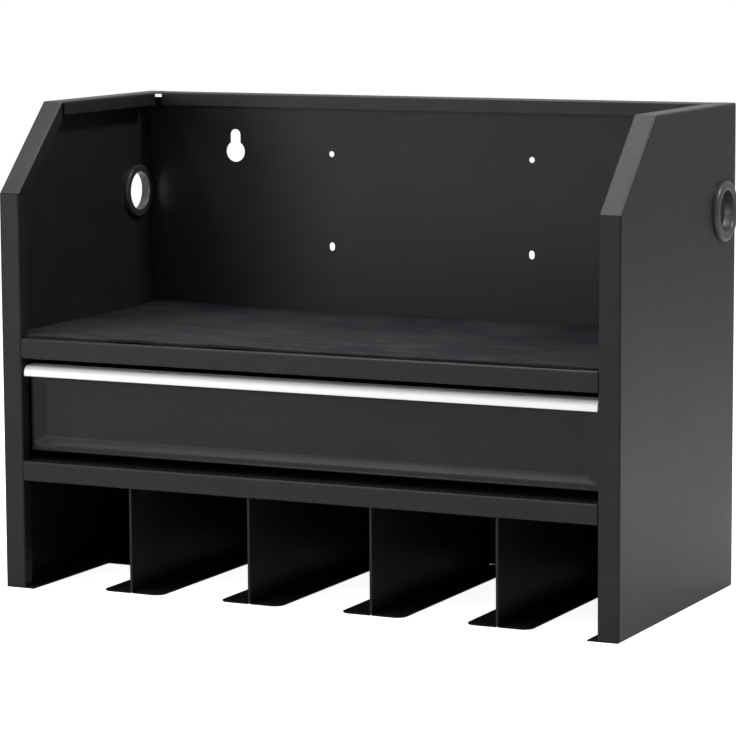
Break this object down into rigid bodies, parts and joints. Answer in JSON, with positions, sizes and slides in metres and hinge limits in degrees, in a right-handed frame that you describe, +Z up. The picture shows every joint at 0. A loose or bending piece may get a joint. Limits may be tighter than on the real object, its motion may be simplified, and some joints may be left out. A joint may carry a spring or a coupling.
{
  "type": "power tool holder",
  "caption": "Wall-hung black steel power tool holder with open bays for drills, a full-width drawer on ball slides and a tray on top.",
  "frame": {"origin": "on the ground plane under the feet, at the middle of the width and of the depth", "axes": "+X to the right of someone in front of it, +Y towards the wall, +Z up"},
  "size_m": [0.6696, 0.305, 0.482],
  "materials": {
    "black_powder_coat": "fine-textured satin black powder coat",
    "satin_aluminium": "satin anodised",
    "grommet_plastic": "smooth moulded",
    "mat": "soft matt foam sheet",
    "zinc_plate": "clear zinc plate",
    "cage_steel": "pressed strip",
    "bearing_steel": "polished",
    "fastener_zinc": "zinc plate"
  },
  "bodies": {
    "cabinet": {"left_side_panel": "black_powder_coat", "right_side_panel": "black_powder_coat", "back_panel": "black_powder_coat", "top_shelf": "black_powder_coat", "lower_deck": "black_powder_coat", "bay_plate": "black_powder_coat", "left_slide_bracket": "black_powder_coat", "right_slide_bracket": "black_powder_coat", "divider_1_left_half": "black_powder_coat", "divider_1_right_half": "black_powder_coat", "divider_2_left_half": "black_powder_coat", "divider_2_right_half": "black_powder_coat", "divider_3_left_half": "black_powder_coat", "divider_3_right_half": "black_powder_coat", "divider_4_left_half": "black_powder_coat", "divider_4_right_half": "black_powder_coat", "shelf_mat": "mat", "left_grommet_bushing": "grommet_plastic", "left_grommet_ring": "grommet_plastic", "left_slide_outer": "zinc_plate", "right_grommet_bushing": "grommet_plastic", "right_grommet_ring": "grommet_plastic", "right_slide_outer": "zinc_plate", "slide_screws": "fastener_zinc"},
    "drawer": {"drawer_body": "black_powder_coat", "drawer_front": "black_powder_coat", "drawer_pull": "satin_aluminium", "left_slide_inner": "zinc_plate", "right_slide_inner": "zinc_plate", "slide_rivets": "fastener_zinc", "pull_rivets": "fastener_zinc"},
    "left_middle_member": {"left_slide_middle": "zinc_plate"},
    "left_outer_cage_set": {"left_outer_cage": "cage_steel", "left_outer_balls": "bearing_steel"},
    "left_inner_cage_set": {"left_inner_cage": "cage_steel", "left_inner_balls": "bearing_steel"},
    "right_middle_member": {"right_slide_middle": "zinc_plate"},
    "right_outer_cage_set": {"right_outer_cage": "cage_steel", "right_outer_balls": "bearing_steel"},
    "right_inner_cage_set": {"right_inner_cage": "cage_steel", "right_inner_balls": "bearing_steel"}
  },
  "joints": [
    {"name": "drawer_slide", "type": "slide", "parent": "cabinet", "child": "drawer", "axis": [0, -1, 0], "range_m": [0, 0.24]},
    {"name": "left_middle_member_slide", "type": "slide", "parent": "cabinet", "child": "left_middle_member", "axis": [0, -1, 0], "range_m": [0, 0.12]},
    {"name": "left_outer_cage_slide", "type": "slide", "parent": "cabinet", "child": "left_outer_cage_set", "axis": [0, -1, 0], "range_m": [0, 0.06]},
    {"name": "left_inner_cage_slide", "type": "slide", "parent": "cabinet", "child": "left_inner_cage_set", "axis": [0, -1, 0], "range_m": [0, 0.18]},
    {"name": "right_middle_member_slide", "type": "slide", "parent": "cabinet", "child": "right_middle_member", "axis": [0, -1, 0], "range_m": [0, 0.12]},
    {"name": "right_outer_cage_slide", "type": "slide", "parent": "cabinet", "child": "right_outer_cage_set", "axis": [0, -1, 0], "range_m": [0, 0.06]},
    {"name": "right_inner_cage_slide", "type": "slide", "parent": "cabinet", "child": "right_inner_cage_set", "axis": [0, -1, 0], "range_m": [0, 0.18]}
  ],
  "couplings": [
    {"joint": "left_middle_member_slide", "follows": "drawer_slide", "ratio": 0.5},
    {"joint": "left_outer_cage_slide", "follows": "drawer_slide", "ratio": 0.25},
    {"joint": "left_inner_cage_slide", "follows": "drawer_slide", "ratio": 0.75},
    {"joint": "right_middle_member_slide", "follows": "drawer_slide", "ratio": 0.5},
    {"joint": "right_outer_cage_slide", "follows": "drawer_slide", "ratio": 0.25},
    {"joint": "right_inner_cage_slide", "follows": "drawer_slide", "ratio": 0.75}
  ]
}
